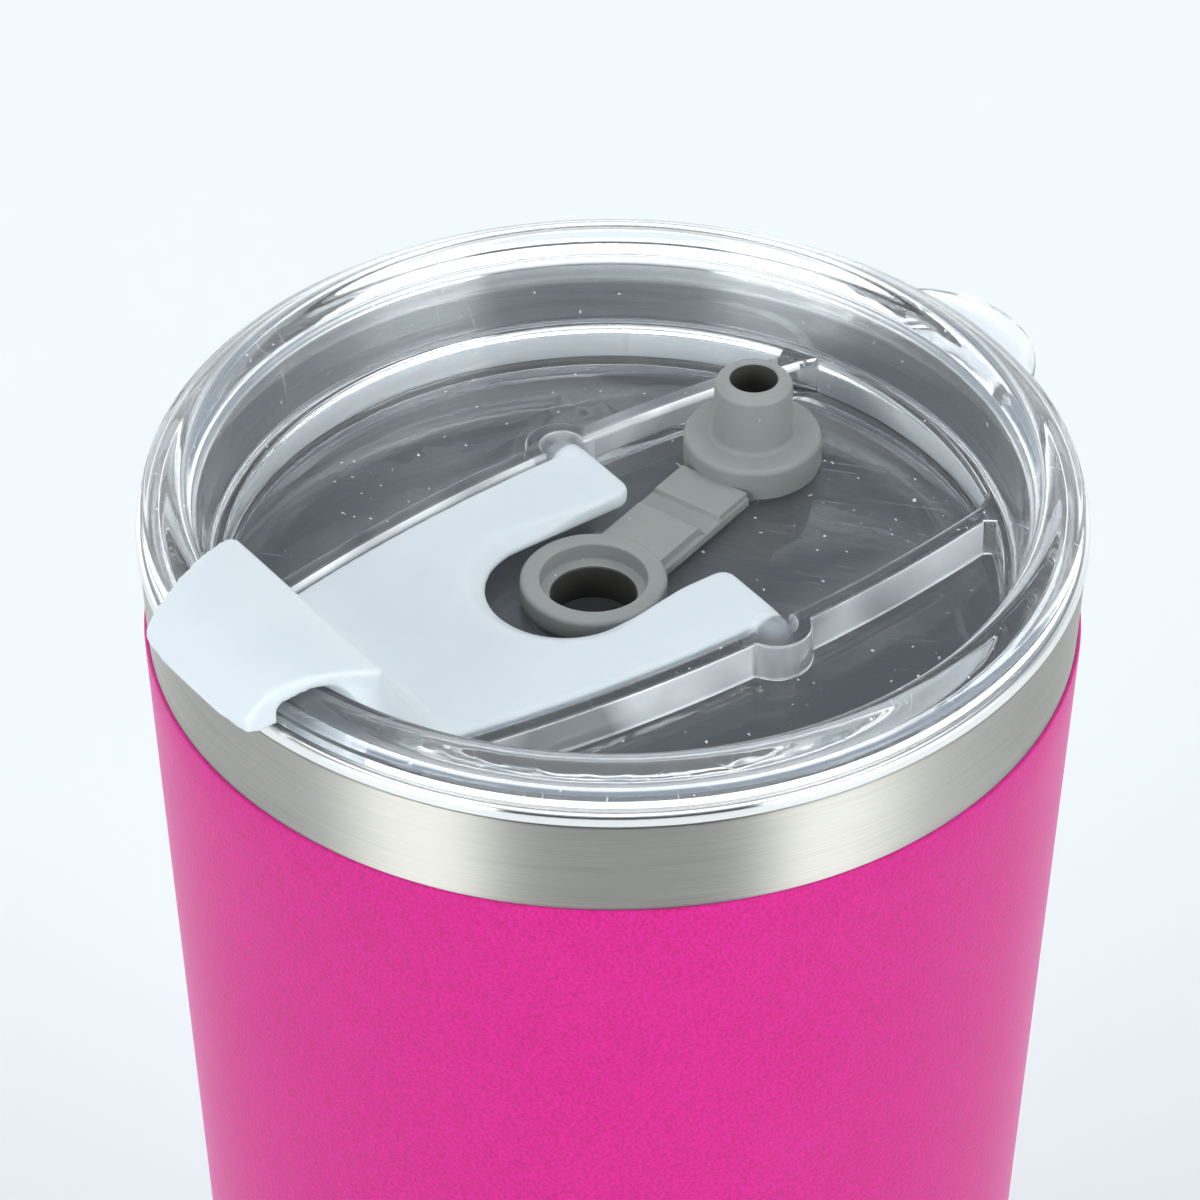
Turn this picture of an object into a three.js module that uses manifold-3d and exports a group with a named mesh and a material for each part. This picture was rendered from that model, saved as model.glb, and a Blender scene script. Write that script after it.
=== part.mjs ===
// A 20 oz double-walled steel tumbler with a clear press-in lid. The lid carries a flip-top closure over the sip
// opening and a silicone straw grommet with its stopper on a strap. Millimetres, +Z up; the origin is the centre of
// the base on the table, the closure's thumb tab points to -Y and the lid's lift tab to +Y.
import * as THREE from "three";
import { mergeVertices } from "three/addons/utils/BufferGeometryUtils.js";
import Module from "manifold-3d";

const wasm = await Module();
wasm.setup();

// ---------------------------------------------------------------- driving dimensions
const ROUND = 64; // facets of every large turned part
const SMALL_ROUND = 32; // facets of the small turned parts

// Tumbler body
const BODY_HEIGHT = 168.1; // top of the rolled lip
const BASE_RADIUS = 34.8;
const TAPER = 0.055; // growth of radius per mm of height
const SHEET = 0.8; // steel wall
const WALL_GAP = 1.4; // vacuum space at the side
const LINER_FLOOR = 8; // underside of the liner's floor
const BARE_BAND_BOTTOM = 156.7; // the powder coat ends here
const COAT_BOTTOM = 3.2;
const COAT_THICKNESS = 0.35;
const COAT_GAP = 0.05;

// Lid; every lid height below is measured from the level of the flange's widest edge
const LID_LEVEL = 170;
const RIM_RADIUS = 43.6;
const CREST = 1.75; // highest ring of the rim
const CREST_RADIUS = 40.3;
const WALL_TOP_RADIUS = 38.6; // inner wall under the crest
const WALL_FOOT_RADIUS = 37.4; // inner wall at the ledge
const LEDGE = -7.5; // ledge and the tops of the rails
const FLOOR = -11.3;
const FLOOR_UNDERSIDE = -13.1;
const SKIRT_BOTTOM = -14.3;
const POCKET_RADIUS = 36.3;

// The two bowed rails, arcs in plan that are widest beside BOW_Y
const BOW_Y = 4.5;
const BOW_RADIUS = 166;
const RAIL_OUTER = 18.2; // half width over the rails at BOW_Y
const RAIL_INNER = 16.2;

// Hinge of the flip-top closure
const HINGE_Y = 6.2;
const HINGE_LEVEL = -9;
const PIN_RADIUS = 1.8;
const PIN_REACH = 18.4; // distance of a pin's end from the middle
const SOCKET_BULGE = 3.4; // radius of the half-round bulge on the rail
const SOCKET_CENTRE_X = 17;

// Closure
const PLATE_THICKNESS = 2;
const PLATE_HALF_WIDTH = 15.75;
const PLATE_END_Y = 7.7;
const SLOT_Y = -5.5; // centre of the slot's round end
const SLOT_HALF_WIDTH = 7.3;
const SLOT_FLARE = 1.6;
const TAB_ROOT_HALF_WIDTH = 11.8;
const TAB_LIP_HALF_WIDTH = 8.4;
const LIP_RADIUS = 46.8;
const LIP_LEVEL = -1.4;

// Sip opening and vent in the lid's floor
const SIP_Y = -25.5;
const SIP_HALF_LENGTH = 8;
const SIP_HALF_WIDTH = 3;
const VENT_Y = -16;
const VENT_RADIUS = 1.3;

// Straw grommet, strap and plug; the strap leaves the grommet turned from +Y towards -X
const STRAW_Y = -2.2;
const STRAP_TURN = THREE.MathUtils.degToRad(18);
const STRAP_LENGTH = 25.7; // from the grommet's axis to the plug's axis
const STRAP_WIDTH = 8;
const STRAP_BOTTOM = -10.95;
const STRAP_TOP = -10;
const PAD_TOP = -9.45;
const GROMMET_RADIUS = 6.9;
const GROMMET_TOP = -9;
const NECK_RADIUS = 5.2;
const STRAW_HOLE_RADIUS = 3.95;
const SEAT_RADIUS = 5;
const PLUG_FLANGE_RADIUS = 6.6;
const PLUG_FLANGE_TOP = -7.6;
const PLUG_TOP = -1.2;
const PLUG_ROOT_RADIUS = 3.85;
const PLUG_TIP_RADIUS = 3.6;

// ---------------------------------------------------------------- materials
const steel = new THREE.MeshStandardMaterial({ color: 0xc9c6c1, roughness: 0.32, metalness: 1 });
const darkSteel = new THREE.MeshStandardMaterial({ color: 0x9b9893, roughness: 0.4, metalness: 1 });
const pinkCoat = new THREE.MeshStandardMaterial({ color: 0xe6379b, roughness: 0.55, metalness: 0 });
const clearPlastic = new THREE.MeshStandardMaterial({
  color: 0xeef6fa,
  roughness: 0.05,
  metalness: 0,
  transparent: true,
  opacity: 0.35,
});
const frosted = new THREE.MeshStandardMaterial({ color: 0xdfe8ee, roughness: 0.45, metalness: 0 });
const clearSilicone = new THREE.MeshStandardMaterial({ color: 0xe9eef0, roughness: 0.4, metalness: 0 });
const greySilicone = new THREE.MeshStandardMaterial({ color: 0x8d908f, roughness: 0.6, metalness: 0 });

// ---------------------------------------------------------------- geometry helpers
// A turned body about Z from [radius, height] points that start and end on the axis, or close on themselves.
function turned(points, segments = ROUND) {
  const profile = points.map(([radius, height]) => new THREE.Vector2(radius, height));
  if (profile[0].x > 0) profile.push(profile[0].clone());
  if (THREE.ShapeUtils.area(profile) < 0) profile.reverse();
  return new THREE.LatheGeometry(profile, segments).rotateX(Math.PI / 2);
}

// Points of a round stretch of a profile, from one angle to another in degrees.
function arcPoints(centreX, centreY, radius, fromDegrees, toDegrees, steps) {
  return Array.from({ length: steps + 1 }, (_, i) => {
    const angle = THREE.MathUtils.degToRad(fromDegrees + ((toDegrees - fromDegrees) * i) / steps);
    return [centreX + radius * Math.cos(angle), centreY + radius * Math.sin(angle)];
  });
}

// A plan outline raised from one level to another.
function raised(shape, bottom, top, curveSegments = 12) {
  const options = { depth: top - bottom, bevelEnabled: false, curveSegments };
  return new THREE.ExtrudeGeometry(shape, options).translate(0, 0, bottom);
}

function disc(radius, bottom, top, x = 0, y = 0, segments = SMALL_ROUND) {
  const cylinder = new THREE.CylinderGeometry(radius, radius, top - bottom, segments);
  return cylinder.rotateX(Math.PI / 2).translate(x, y, (bottom + top) / 2);
}

function outline(points) {
  return new THREE.Shape(points.map(([x, y]) => new THREE.Vector2(x, y)));
}

// An outline with two round ends, long along X.
function slotOutline(y, halfLength, halfWidth) {
  const reach = halfLength - halfWidth;
  const shape = new THREE.Shape();
  shape.absarc(reach, y, halfWidth, -Math.PI / 2, Math.PI / 2);
  shape.absarc(-reach, y, halfWidth, Math.PI / 2, (3 * Math.PI) / 2);
  return shape;
}

// A three.js geometry as a solid that can be joined and cut.
function solid(geometry) {
  const bare = geometry.clone();
  bare.deleteAttribute("normal");
  bare.deleteAttribute("uv");
  const merged = mergeVertices(bare, 1e-4);
  const mesh = { numProp: 3, vertProperties: merged.attributes.position.array };
  return new wasm.Manifold(new wasm.Mesh({ ...mesh, triVerts: new Uint32Array(merged.index.array) }));
}

function joined(first, ...others) {
  return others.reduce((sum, geometry) => sum.add(solid(geometry)), solid(first));
}

function geometryOf(manifold) {
  const mesh = manifold.getMesh();
  const geometry = new THREE.BufferGeometry();
  geometry.setAttribute("position", new THREE.BufferAttribute(mesh.vertProperties, 3));
  geometry.setIndex(new THREE.BufferAttribute(mesh.triVerts, 1));
  return geometry;
}

function named(name, geometry, material) {
  const mesh = new THREE.Mesh(geometry, material);
  mesh.name = name;
  return mesh;
}

// ---------------------------------------------------------------- tumbler body
const outerRadius = (height) => BASE_RADIUS + TAPER * height;
const linerRadius = (height) => outerRadius(height) - 2 * SHEET - WALL_GAP; // the liner's inside face

// The outer wall, from the corner it stands on up to the seam under the lip.
function outerShell() {
  const corner = 2.5;
  const seam = BODY_HEIGHT - 1.6;
  return turned([
    ...arcPoints(BASE_RADIUS - corner, corner, corner, -90, 0, 4),
    [outerRadius(seam), seam],
    [outerRadius(seam) - SHEET, seam],
    ...arcPoints(BASE_RADIUS - corner, corner, corner - SHEET, 0, -90, 3),
  ]);
}

// The liner: cup, side wall, and the rolled lip that turns outwards over the seam.
function innerLiner() {
  const bend = 6;
  const floorTop = LINER_FLOOR + SHEET;
  const bendCentre = linerRadius(floorTop) - bend;
  const lip = 0.75;
  const lipOuter = outerRadius(BODY_HEIGHT) + 0.1;
  const lipInner = linerRadius(BODY_HEIGHT);
  const collar = BODY_HEIGHT - 1.2;
  return turned([
    [0, floorTop],
    ...arcPoints(bendCentre, floorTop + bend, bend, -90, 0, 3),
    [lipInner, BODY_HEIGHT - lip],
    ...arcPoints(lipInner + lip, BODY_HEIGHT - lip, lip, 180, 90, 2).slice(1),
    ...arcPoints(lipOuter - lip, BODY_HEIGHT - lip, lip, 90, 0, 3),
    [lipOuter, collar],
    [lipInner + SHEET + 0.3, collar],
    [linerRadius(collar - 1.5) + SHEET, collar - 1.5],
    ...arcPoints(bendCentre, floorTop + bend, bend + SHEET, 0, -90, 3),
    [0, LINER_FLOOR],
  ]);
}

// The powder coat as a thin skin that leaves the bare band at the top.
function powderCoat() {
  const inner = (height) => outerRadius(height) + COAT_GAP;
  return turned([
    [inner(COAT_BOTTOM), COAT_BOTTOM],
    [inner(COAT_BOTTOM) + COAT_THICKNESS, COAT_BOTTOM + 0.3],
    [inner(BARE_BAND_BOTTOM) + COAT_THICKNESS, BARE_BAND_BOTTOM - 0.3],
    [inner(BARE_BAND_BOTTOM), BARE_BAND_BOTTOM],
  ]);
}

// The outer bottom: a flat foot ring, a raised middle, and the pinched evacuation hole at its centre.
function basePlate() {
  const rim = 32;
  const foot = 25;
  const middle = 1.6;
  const dimple = 6;
  const hole = 0.8;
  return turned([
    [hole, middle + 1.2],
    [dimple - 1, middle + 1.2],
    [dimple, middle],
    [foot - 1.6, middle],
    [foot, 0],
    [rim, 0],
    [rim, SHEET],
    [foot + 0.6, SHEET],
    [foot - 1, middle + SHEET],
    [dimple + 0.4, middle + SHEET],
    [dimple - 0.6, middle + 1.2 + SHEET],
    [hole, middle + 1.2 + SHEET],
  ]);
}

// The bead of solder glass that closes the evacuation hole after pumping.
function vacuumSeal() {
  return turned(
    [
      [0, 1.9],
      [2.6, 1.9],
      [3, 2.2],
      [2.6, 2.55],
      [0, 2.55],
    ],
    SMALL_ROUND,
  );
}

// The getter pill and the clip that holds it against the underside of the liner.
function getter() {
  return disc(4, 4.4, 6.4, 12, 0, 24);
}

function getterClip() {
  const ring = outline(arcPoints(12, 0, 5.4, 0, 345, 23));
  ring.holes.push(new THREE.Path(arcPoints(12, 0, 4.2, 0, 345, 23).map(([x, y]) => new THREE.Vector2(x, y))));
  const cap = disc(5.4, 6.7, 7.7, 12, 0, 24);
  return geometryOf(joined(raised(ring, 4.8, 6.8), cap));
}

// ---------------------------------------------------------------- lid
// Half width of the arc of a bowed rail, or of the plate between the rails, at a place along the lid.
function bowedHalfWidth(halfWidth, y) {
  const radius = BOW_RADIUS - RAIL_OUTER + halfWidth;
  return halfWidth - radius + Math.sqrt(radius ** 2 - (y - BOW_Y) ** 2);
}

// The outline between two bowed sides, from one place along Y to another; its far corners may be rounded.
function bowedOutline(halfWidth, fromY, toY, corner = 0) {
  const steps = 12;
  const side = Array.from({ length: steps + 1 }, (_, i) => {
    const y = fromY + ((toY - corner - fromY) * i) / steps;
    return [bowedHalfWidth(halfWidth, y), y];
  });
  const endWidth = bowedHalfWidth(halfWidth, toY - corner);
  if (corner > 0) side.push(...arcPoints(endWidth - corner, toY - corner, corner, 0, 90, 3).slice(1));
  const otherSide = side.map(([x, y]) => [-x, y]).reverse();
  return outline([...side, ...otherSide]);
}

// The whole lid before its pockets are cut: flange, wall, skirt with the gasket's groove, and a thick floor.
function lidBlank() {
  return turned([
    [0, FLOOR_UNDERSIDE],
    [36.8, FLOOR_UNDERSIDE],
    [37.1, SKIRT_BOTTOM],
    [38.9, SKIRT_BOTTOM],
    [39.3, SKIRT_BOTTOM + 0.5],
    [39.3, -12.7],
    [38.2, -12.7],
    [38.2, -9.3],
    [39.5, -9.3],
    [40.2, -2.6],
    [40.9, -1.9],
    [RIM_RADIUS - 0.5, -1.9],
    [RIM_RADIUS, -1.3],
    [RIM_RADIUS, -0.1],
    [42.6, 0.6],
    [41.6, 1.3],
    [40.9, 1.65],
    [CREST_RADIUS, CREST],
    [39.4, 1.2],
    [WALL_TOP_RADIUS, -0.6],
    [WALL_FOOT_RADIUS, LEDGE],
    [0, LEDGE],
  ]);
}

// A clear half-round socket outside each rail takes the closure's pins; the pocket in it is open to the top.
function socketBulge(side) {
  return disc(SOCKET_BULGE, FLOOR - 0.5, LEDGE, side * SOCKET_CENTRE_X, HINGE_Y);
}

function pinPocket(side) {
  const halfWidth = PIN_RADIUS + 0.3;
  const centre = side * (PIN_REACH + 0.4 - halfWidth);
  const bottom = HINGE_LEVEL - PIN_RADIUS - 0.3;
  const round = disc(halfWidth, bottom, LEDGE + 1, centre, HINGE_Y, 24);
  const length = PIN_REACH - RAIL_INNER + 1;
  const neck = new THREE.BoxGeometry(length, 2 * halfWidth, LEDGE + 1 - bottom);
  neck.translate(centre - (side * length) / 2, HINGE_Y, (LEDGE + 1 + bottom) / 2);
  return joined(round, neck);
}

// A thin half-moon on the far side of the rim, to lift the lid by.
function liftTab() {
  const radius = 11.2;
  return raised(outline(arcPoints(0, LIP_RADIUS - radius, radius, 20, 160, 12)), -0.9, 0.3);
}

function lidShell() {
  const sides = [-1, 1];
  const pocket = solid(disc(POCKET_RADIUS, FLOOR, LEDGE + 1, 0, 0, ROUND));
  const overRails = solid(raised(bowedOutline(RAIL_OUTER, -40, 40), FLOOR - 1, LEDGE + 2));
  const betweenRails = solid(raised(bowedOutline(RAIL_INNER, -40, 40), FLOOR - 1, LEDGE + 2));
  const bulges = joined(socketBulge(-1), socketBulge(1));
  const sidePockets = pocket.subtract(overRails).subtract(bulges);
  const channel = pocket.intersect(betweenRails);
  const through = [
    disc(NECK_RADIUS + 0.3, FLOOR_UNDERSIDE - 1, FLOOR + 1, 0, STRAW_Y),
    disc(VENT_RADIUS, FLOOR_UNDERSIDE - 1, FLOOR + 1, 0, VENT_Y, 20),
    raised(slotOutline(SIP_Y, SIP_HALF_LENGTH, SIP_HALF_WIDTH), FLOOR_UNDERSIDE - 1, FLOOR + 1),
  ];
  let body = joined(lidBlank(), liftTab()).subtract(sidePockets).subtract(channel);
  for (const side of sides) body = body.subtract(pinPocket(side));
  for (const hole of through) body = body.subtract(solid(hole));
  return geometryOf(body);
}

// A ring of clear silicone in the skirt's groove, with two soft fins against the liner.
function lidGasket() {
  const inside = 38.4;
  const core = 39.4;
  const fin = 40.25;
  const bottom = -12.5;
  const pitch = 1.5;
  const fins = [0, 1].flatMap((i) => [
    [core, bottom + pitch * i + 0.1],
    [fin, bottom + pitch * i + 0.6],
    [fin, bottom + pitch * i + 0.9],
    [core, bottom + pitch * i + 1.4],
  ]);
  return turned([[inside, bottom], [core, bottom], ...fins, [inside, bottom + 2 * pitch]]);
}

// ---------------------------------------------------------------- flip-top closure
// The space that the rim of the lid needs under the tab.
function rimClearance() {
  return turned([
    [36.9, -20],
    [37.05, LEDGE],
    [38.2, -0.8],
    [39, 1.35],
    [CREST_RADIUS - 0.2, CREST + 0.35],
    [CREST_RADIUS + 1, CREST + 0.3],
    [RIM_RADIUS + 0.4, 0.7],
    [RIM_RADIUS + 0.4, -20],
  ]);
}

// The tab climbs from the plate, crosses the rim and hooks down outside it.
function tab() {
  const side = outline([
    [-26, LEDGE - PLATE_THICKNESS],
    [-26, LEDGE],
    [-28.6, LEDGE + 0.5],
    [-31, LEDGE + 2],
    [-32.6, LEDGE + 4.6],
    [-33.4, 0],
    [-33.9, 2.2],
    [-34.9, 3.1],
    [-38, 3.5],
    [-42.4, 3.1],
    [-44.6, 1.7],
    [-46.2, -0.4],
    [-LIP_RADIUS, LIP_LEVEL],
    [-45.3, LIP_LEVEL],
    [-38, LIP_LEVEL],
    [-35.5, LEDGE + 0.3],
    [-32.5, LEDGE - PLATE_THICKNESS],
  ]);
  const width = 2 * TAB_ROOT_HALF_WIDTH + 4;
  const ridge = raised(side, -width / 2, width / 2);
  ridge.applyMatrix4(
    new THREE.Matrix4().makeBasis(
      new THREE.Vector3(0, 1, 0),
      new THREE.Vector3(0, 0, 1),
      new THREE.Vector3(1, 0, 0),
    ),
  );
  const plan = outline([
    [-TAB_ROOT_HALF_WIDTH, -25],
    [-TAB_ROOT_HALF_WIDTH, -34],
    [-TAB_LIP_HALF_WIDTH, -44],
    [-TAB_LIP_HALF_WIDTH + 1.5, -48],
    [TAB_LIP_HALF_WIDTH - 1.5, -48],
    [TAB_LIP_HALF_WIDTH, -44],
    [TAB_ROOT_HALF_WIDTH, -34],
    [TAB_ROOT_HALF_WIDTH, -25],
  ]);
  // Below the ledge it keeps between the rails, like the plate; above, it may spread over them.
  const overRails = LEDGE + 0.35;
  const betweenRails = solid(raised(bowedOutline(PLATE_HALF_WIDTH, -40, 0), -20, overRails));
  const inPocket = solid(disc(POCKET_RADIUS - 0.4, -20, overRails, 0, 0, ROUND));
  const allowed = betweenRails.intersect(inPocket).add(solid(raised(plan, overRails, 10)));
  return solid(ridge)
    .intersect(solid(raised(plan, -20, 10)))
    .intersect(allowed)
    .intersect(solid(disc(LIP_RADIUS, -20, 10, 0, 0, ROUND)))
    .subtract(solid(rimClearance()));
}

// The slot that lets the plate swing past the grommet; its round end is dished towards the top.
function closureSlot() {
  const corner = 1.3;
  const cornerX = SLOT_HALF_WIDTH + corner;
  const cornerY = PLATE_END_Y - corner;
  const shape = new THREE.Shape();
  shape.moveTo(cornerX, PLATE_END_Y + 2);
  shape.lineTo(-cornerX, PLATE_END_Y + 2);
  shape.absarc(-cornerX, cornerY, corner, Math.PI / 2, 0, true);
  shape.absarc(0, SLOT_Y, SLOT_HALF_WIDTH, Math.PI, 2 * Math.PI);
  shape.absarc(cornerX, cornerY, corner, Math.PI, Math.PI / 2, true);
  const dish = turned(
    [
      [0, LEDGE - 1.6],
      [SLOT_HALF_WIDTH, LEDGE - 1.6],
      [SLOT_HALF_WIDTH + SLOT_FLARE, LEDGE],
      [SLOT_HALF_WIDTH + SLOT_FLARE, LEDGE + 1],
      [0, LEDGE + 1],
    ],
    SMALL_ROUND,
  );
  return joined(raised(shape, LEDGE - PLATE_THICKNESS - 1, LEDGE + 1), dish.translate(0, SLOT_Y - 0.4, 0));
}

// A hinge pin along X, a stout nub with a domed end.
function hingePin(side) {
  const root = 15.4;
  const profile = [
    [0, root],
    [PIN_RADIUS, root],
    [PIN_RADIUS, PIN_REACH - 2.3],
    [PIN_RADIUS - 0.12, PIN_REACH - 1.5],
    [PIN_RADIUS - 0.5, PIN_REACH - 0.7],
    [PIN_RADIUS - 1.05, PIN_REACH - 0.2],
    [0, PIN_REACH],
  ];
  const pin = turned(profile, 20).rotateY((side * Math.PI) / 2);
  return pin.translate(0, HINGE_Y, HINGE_LEVEL);
}

function flipClosure() {
  const bottom = LEDGE - PLATE_THICKNESS;
  const plate = raised(bowedOutline(PLATE_HALF_WIDTH, -29, PLATE_END_Y, 1), bottom, LEDGE);
  const heels = new THREE.CylinderGeometry(1.9, 1.9, 60, 24).rotateZ(Math.PI / 2);
  const heelLimit = joined(
    heels.translate(0, HINGE_Y, HINGE_LEVEL),
    new THREE.BoxGeometry(60, 40, 6).translate(0, HINGE_Y - 20, HINGE_LEVEL),
  );
  const seal = raised(slotOutline(SIP_Y, SIP_HALF_LENGTH + 1, SIP_HALF_WIDTH + 1), FLOOR + 0.3, bottom + 0.2);
  const trimmed = solid(plate).intersect(heelLimit).subtract(closureSlot());
  let body = trimmed.add(tab()).add(solid(seal));
  for (const side of [-1, 1]) body = body.add(solid(hingePin(side)));
  return geometryOf(body);
}

// ---------------------------------------------------------------- straw grommet and stopper
// These three are drawn with the grommet's axis on Z and the strap along +Y.
// The grommet: a collar on the floor, a neck through it and a retaining lip below, with the strap's near half.
function strawGrommet() {
  const collar = turned(
    [
      [STRAW_HOLE_RADIUS, -14.6],
      [NECK_RADIUS + 0.5, -14.6],
      [6.4, -13.4],
      [NECK_RADIUS, -13.4],
      [NECK_RADIUS, FLOOR + 0.15],
      [GROMMET_RADIUS, FLOOR + 0.15],
      [GROMMET_RADIUS, GROMMET_TOP - 0.3],
      [GROMMET_RADIUS - 0.3, GROMMET_TOP],
      [SEAT_RADIUS, GROMMET_TOP],
      [SEAT_RADIUS, GROMMET_TOP - 1.7],
      [STRAW_HOLE_RADIUS, GROMMET_TOP - 1.9],
    ],
    SMALL_ROUND,
  );
  const half = STRAP_LENGTH / 2 - 0.15;
  const strip = strapPiece(5.6, half, STRAP_WIDTH, STRAP_BOTTOM, STRAP_TOP);
  const root = strapPiece(5.6, half - 0.6, STRAP_WIDTH - 0.8, STRAP_TOP - 0.2, GROMMET_TOP - 0.15);
  return geometryOf(joined(collar, strip, root));
}

function strapPiece(fromY, toY, width, bottom, top) {
  const box = new THREE.BoxGeometry(width, toY - fromY, top - bottom);
  return box.translate(0, (fromY + toY) / 2, (bottom + top) / 2);
}

// The folding half of the strap, with the raised pad beside the plug.
function stopperStrap() {
  const start = STRAP_LENGTH / 2 + 0.15;
  const end = STRAP_LENGTH - 4;
  const clearance = solid(disc(PLUG_FLANGE_RADIUS + 0.3, -20, 10, 0, STRAP_LENGTH));
  const strip = strapPiece(start, end, STRAP_WIDTH, STRAP_BOTTOM, STRAP_TOP);
  const pad = strapPiece(start + 2.1, end, STRAP_WIDTH, STRAP_TOP - 0.2, PAD_TOP);
  return geometryOf(joined(strip, pad).subtract(clearance));
}

// The plug: flange below, tapered plug pointing up while open, with its blind moulding hole.
function strawPlug() {
  const plug = turned(
    [
      [0, STRAP_BOTTOM],
      [PLUG_FLANGE_RADIUS - 0.2, STRAP_BOTTOM],
      [PLUG_FLANGE_RADIUS, STRAP_BOTTOM + 0.3],
      [PLUG_FLANGE_RADIUS, PLUG_FLANGE_TOP - 0.3],
      [PLUG_FLANGE_RADIUS - 0.3, PLUG_FLANGE_TOP],
      [PLUG_ROOT_RADIUS, PLUG_FLANGE_TOP],
      [PLUG_TIP_RADIUS + 0.15, PLUG_TOP - 0.7],
      [PLUG_TIP_RADIUS - 0.6, PLUG_TOP],
      [2.3, PLUG_TOP],
      [2.2, PLUG_TOP - 6],
      [0, PLUG_TOP - 6],
    ],
    SMALL_ROUND,
  );
  return plug.translate(0, STRAP_LENGTH, 0);
}

// ---------------------------------------------------------------- assembly
const tumbler = new THREE.Group();
tumbler.add(
  named("outer_shell", outerShell(), steel),
  named("powder_coat", powderCoat(), pinkCoat),
  named("inner_liner", innerLiner(), steel),
  named("base_plate", basePlate(), steel),
  named("vacuum_seal", vacuumSeal(), darkSteel),
  named("getter", getter(), darkSteel),
  named("getter_clip", getterClip(), steel),
);

const stopper = new THREE.Group();
stopper.position.set(0, STRAW_Y, 0);
stopper.rotation.z = STRAP_TURN;
stopper.add(
  named("straw_grommet", strawGrommet(), greySilicone),
  named("stopper_strap", stopperStrap(), greySilicone),
  named("straw_plug", strawPlug(), greySilicone),
);

const lid = new THREE.Group();
lid.position.z = LID_LEVEL;
lid.add(
  named("lid_shell", lidShell(), clearPlastic),
  named("lid_gasket", lidGasket(), clearSilicone),
  named("flip_closure", flipClosure(), frosted),
  stopper,
);
tumbler.add(lid);

export default tumbler;
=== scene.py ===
"""Looks of the insulated tumbler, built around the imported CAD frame.

Shapes are given in millimetres and become metres when a mesh is made. Materials and lights
are given in metres.
X runs across the closure, the thumb tab is on the -Y side, and the lid's heights are measured from LID.
"""

import math

import bmesh
import bpy
import numpy as np
from mathutils import Matrix, Vector


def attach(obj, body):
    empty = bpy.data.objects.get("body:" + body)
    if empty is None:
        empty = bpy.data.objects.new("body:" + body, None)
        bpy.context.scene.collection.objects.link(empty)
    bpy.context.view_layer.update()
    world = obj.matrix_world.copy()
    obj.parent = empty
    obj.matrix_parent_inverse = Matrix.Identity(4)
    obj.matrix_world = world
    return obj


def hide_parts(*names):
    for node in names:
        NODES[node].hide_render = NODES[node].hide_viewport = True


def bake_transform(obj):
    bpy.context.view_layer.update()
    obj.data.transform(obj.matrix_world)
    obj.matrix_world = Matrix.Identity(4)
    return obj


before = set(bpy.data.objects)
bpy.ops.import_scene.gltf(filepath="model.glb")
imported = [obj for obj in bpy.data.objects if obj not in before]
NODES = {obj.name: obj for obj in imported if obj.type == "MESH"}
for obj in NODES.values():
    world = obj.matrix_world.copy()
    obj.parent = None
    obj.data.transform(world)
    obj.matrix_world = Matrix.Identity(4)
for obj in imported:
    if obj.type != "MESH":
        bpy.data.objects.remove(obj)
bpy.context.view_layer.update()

MM = 0.001
UP = Vector((0, 0, 1))

# ------------------------------------------------------------------ dimensions
LID = 170.0  # level of the lid's widest edge, from which the lid's heights are measured

BODY_HEIGHT = 168.1
FOOT_RADIUS, TAPER = 34.8, 0.055  # the outer wall's radius at its foot, and what it gains for each mm of height
SHEET = 0.8  # thickness of both walls
WALL_GAP = 1.4
BAND_BOTTOM = 156.7  # where the bare steel band ends and the coat begins
COAT_BOTTOM = 3.2
LIP_BOTTOM = 164.6  # where the liner's polished lip begins

LEDGE, FLOOR = -7.5, -11.3  # heights of the ledge and of the sunk floors of the channel and pockets
POCKET_RADIUS = 36.3  # the lid's wall, inside which the channel and pockets lie
RAIL_OUTER, RAIL_INNER = 18.2, 16.2  # half widths across the rails at their widest
BOW_Y, BOW_RADIUS = 4.5, 166.0  # where the bowed rails are widest, and the radius of their outer sides
HINGE_Y, HINGE_LEVEL = 6.2, -9.0
SOCKET_X, SOCKET_RADIUS = 17.0, 3.4
PIN_RADIUS, PIN_REACH = 1.8, 18.4  # the closure's hinge nubs, and how far out they reach
SIP_Y, SIP_HALF_LENGTH, SIP_HALF_WIDTH = -25.5, 8.0, 3.0
VENT_Y, VENT_RADIUS = -16.0, 1.3
STRAW_Y, STRAW_HOLE_RADIUS = -2.2, 5.5

PLATE_HALF, PLATE_END = 15.75, 7.7  # the closure's half width, and where its arms end
SLOT_Y, SLOT_HALF = -5.5, 7.3  # centre of the round end of its slot, and the slot's half width
TAB_REACH = 46.8  # how far both tabs reach out from the lid's axis

STRAP_TURN = math.radians(18)
STRAP_LENGTH, STRAP_WIDTH = 25.7, 8.0
STRAP_BOTTOM, STRAP_TOP = -10.95, -10.0
ROOT_TOP, PAD_TOP = -9.15, -9.45  # heights of the raised stretches at the grommet and at the plug
ROOT_END, PAD_START = 12.4, 14.9  # and where they end and start along the strap
SPLIT = 16.4  # where the folding strap hands over to the piece that stretches to the plug

# ------------------------------------------------------------------ camera and light
CAMERA_ELEVATION, CAMERA_ROLL, CAMERA_AZIMUTH = 38.394, 0.1415, 54.0  # degrees
CAMERA_DISTANCE, CAMERA_ACROSS, CAMERA_ABOVE = 629.2, -1.183, -9.965  # from the middle of the lid
CAMERA_LENS, SENSOR_WIDTH = 204.55, 36


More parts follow.
